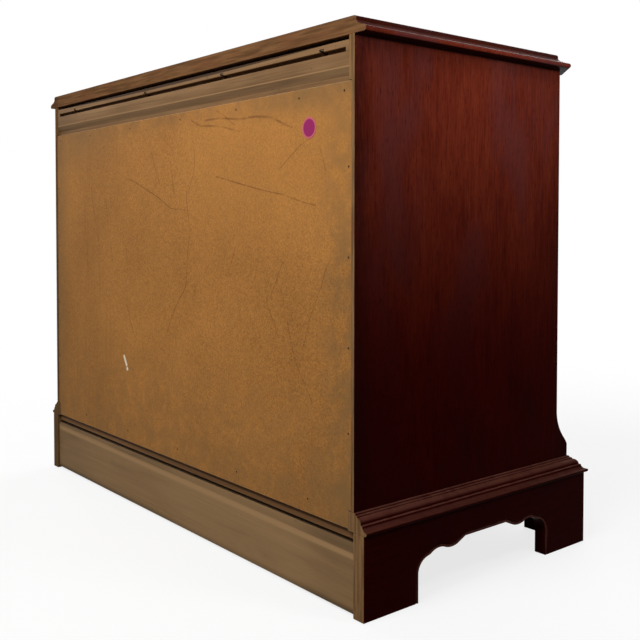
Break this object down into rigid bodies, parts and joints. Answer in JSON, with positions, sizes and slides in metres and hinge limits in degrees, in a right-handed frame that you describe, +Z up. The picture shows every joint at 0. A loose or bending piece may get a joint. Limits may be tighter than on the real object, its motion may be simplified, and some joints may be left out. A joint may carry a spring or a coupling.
{
  "type": "chest of drawers",
  "caption": "Low block-front chest of drawers with canted corners, moulded top, bracket-foot base, sliding drawers and swinging bail pulls.",
  "frame": {"origin": "centre of the bounding box, on the floor under the chest", "axes": "+X along the width, to the right when facing the drawers; +Y from the front to the back; +Z up"},
  "size_m": [1.018, 0.525, 0.813],
  "materials": {
    "mahogany": "satin red-brown varnish",
    "raw_wood": "bare and worn",
    "drawer_wood": "bare, planed smooth",
    "hardboard": "matt pressed board",
    "brass": "aged, lightly polished",
    "clip_steel": "dull plated"
  },
  "bodies": {
    "case": {"top_board": "mahogany", "left_side": "mahogany", "right_side": "mahogany", "left_corner_post": "mahogany", "right_corner_post": "mahogany", "back_panel": "hardboard", "back_top_rail": "raw_wood", "top_clips": "clip_steel", "case_bottom": "raw_wood", "back_base_board": "raw_wood", "left_base_board": "mahogany", "right_base_board": "mahogany", "front_base_board": "mahogany", "left_base_moulding": "mahogany", "right_base_moulding": "mahogany", "front_base_moulding": "mahogany", "base_ledgers": "raw_wood", "foot_blocks": "raw_wood", "front_top_rail": "mahogany", "front_bottom_rail": "mahogany", "frame_back_rails": "raw_wood", "drawer_runners": "raw_wood", "drawer_guides": "raw_wood", "drawer_stops": "raw_wood", "drawer_divider_1": "mahogany", "drawer_divider_2": "mahogany", "drawer_divider_3": "mahogany"},
    "drawer_1": {"drawer_1_front": "mahogany", "drawer_1_left_side": "drawer_wood", "drawer_1_right_side": "drawer_wood", "drawer_1_back": "drawer_wood", "drawer_1_bottom": "drawer_wood", "drawer_1_pull_mounts": "brass"},
    "drawer_1_left_bail_body": {"drawer_1_left_bail": "brass"},
    "drawer_1_right_bail_body": {"drawer_1_right_bail": "brass"},
    "drawer_2": {"drawer_2_front": "mahogany", "drawer_2_left_side": "drawer_wood", "drawer_2_right_side": "drawer_wood", "drawer_2_back": "drawer_wood", "drawer_2_bottom": "drawer_wood", "drawer_2_pull_mounts": "brass"},
    "drawer_2_left_bail_body": {"drawer_2_left_bail": "brass"},
    "drawer_2_right_bail_body": {"drawer_2_right_bail": "brass"},
    "drawer_3": {"drawer_3_front": "mahogany", "drawer_3_left_side": "drawer_wood", "drawer_3_right_side": "drawer_wood", "drawer_3_back": "drawer_wood", "drawer_3_bottom": "drawer_wood", "drawer_3_pull_mounts": "brass"},
    "drawer_3_left_bail_body": {"drawer_3_left_bail": "brass"},
    "drawer_3_right_bail_body": {"drawer_3_right_bail": "brass"},
    "drawer_4": {"drawer_4_front": "mahogany", "drawer_4_left_side": "drawer_wood", "drawer_4_right_side": "drawer_wood", "drawer_4_back": "drawer_wood", "drawer_4_bottom": "drawer_wood", "drawer_4_pull_mounts": "brass"},
    "drawer_4_left_bail_body": {"drawer_4_left_bail": "brass"},
    "drawer_4_right_bail_body": {"drawer_4_right_bail": "brass"}
  },
  "joints": [
    {"name": "drawer_1_slide", "type": "slide", "parent": "case", "child": "drawer_1", "axis": [0, -1, 0], "range_m": [0, 0.35]},
    {"name": "drawer_1_left_bail_hinge", "type": "hinge", "parent": "drawer_1", "child": "drawer_1_left_bail_body", "pos_m": [-0.273, -0.2525, 0.7191], "axis": [-1, 0, 0], "range_deg": [-12, 85]},
    {"name": "drawer_1_right_bail_hinge", "type": "hinge", "parent": "drawer_1", "child": "drawer_1_right_bail_body", "pos_m": [0.273, -0.2525, 0.7191], "axis": [-1, 0, 0], "range_deg": [-12, 85]},
    {"name": "drawer_2_slide", "type": "slide", "parent": "case", "child": "drawer_2", "axis": [0, -1, 0], "range_m": [0, 0.35]},
    {"name": "drawer_2_left_bail_hinge", "type": "hinge", "parent": "drawer_2", "child": "drawer_2_left_bail_body", "pos_m": [-0.273, -0.2525, 0.57623], "axis": [-1, 0, 0], "range_deg": [-12, 85]},
    {"name": "drawer_2_right_bail_hinge", "type": "hinge", "parent": "drawer_2", "child": "drawer_2_right_bail_body", "pos_m": [0.273, -0.2525, 0.57623], "axis": [-1, 0, 0], "range_deg": [-12, 85]},
    {"name": "drawer_3_slide", "type": "slide", "parent": "case", "child": "drawer_3", "axis": [0, -1, 0], "range_m": [0, 0.35]},
    {"name": "drawer_3_left_bail_hinge", "type": "hinge", "parent": "drawer_3", "child": "drawer_3_left_bail_body", "pos_m": [-0.273, -0.2525, 0.42064], "axis": [-1, 0, 0], "range_deg": [-12, 85]},
    {"name": "drawer_3_right_bail_hinge", "type": "hinge", "parent": "drawer_3", "child": "drawer_3_right_bail_body", "pos_m": [0.273, -0.2525, 0.42064], "axis": [-1, 0, 0], "range_deg": [-12, 85]},
    {"name": "drawer_4_slide", "type": "slide", "parent": "case", "child": "drawer_4", "axis": [0, -1, 0], "range_m": [0, 0.35]},
    {"name": "drawer_4_left_bail_hinge", "type": "hinge", "parent": "drawer_4", "child": "drawer_4_left_bail_body", "pos_m": [-0.273, -0.2525, 0.24901], "axis": [-1, 0, 0], "range_deg": [-12, 85]},
    {"name": "drawer_4_right_bail_hinge", "type": "hinge", "parent": "drawer_4", "child": "drawer_4_right_bail_body", "pos_m": [0.273, -0.2525, 0.24901], "axis": [-1, 0, 0], "range_deg": [-12, 85]}
  ]
}
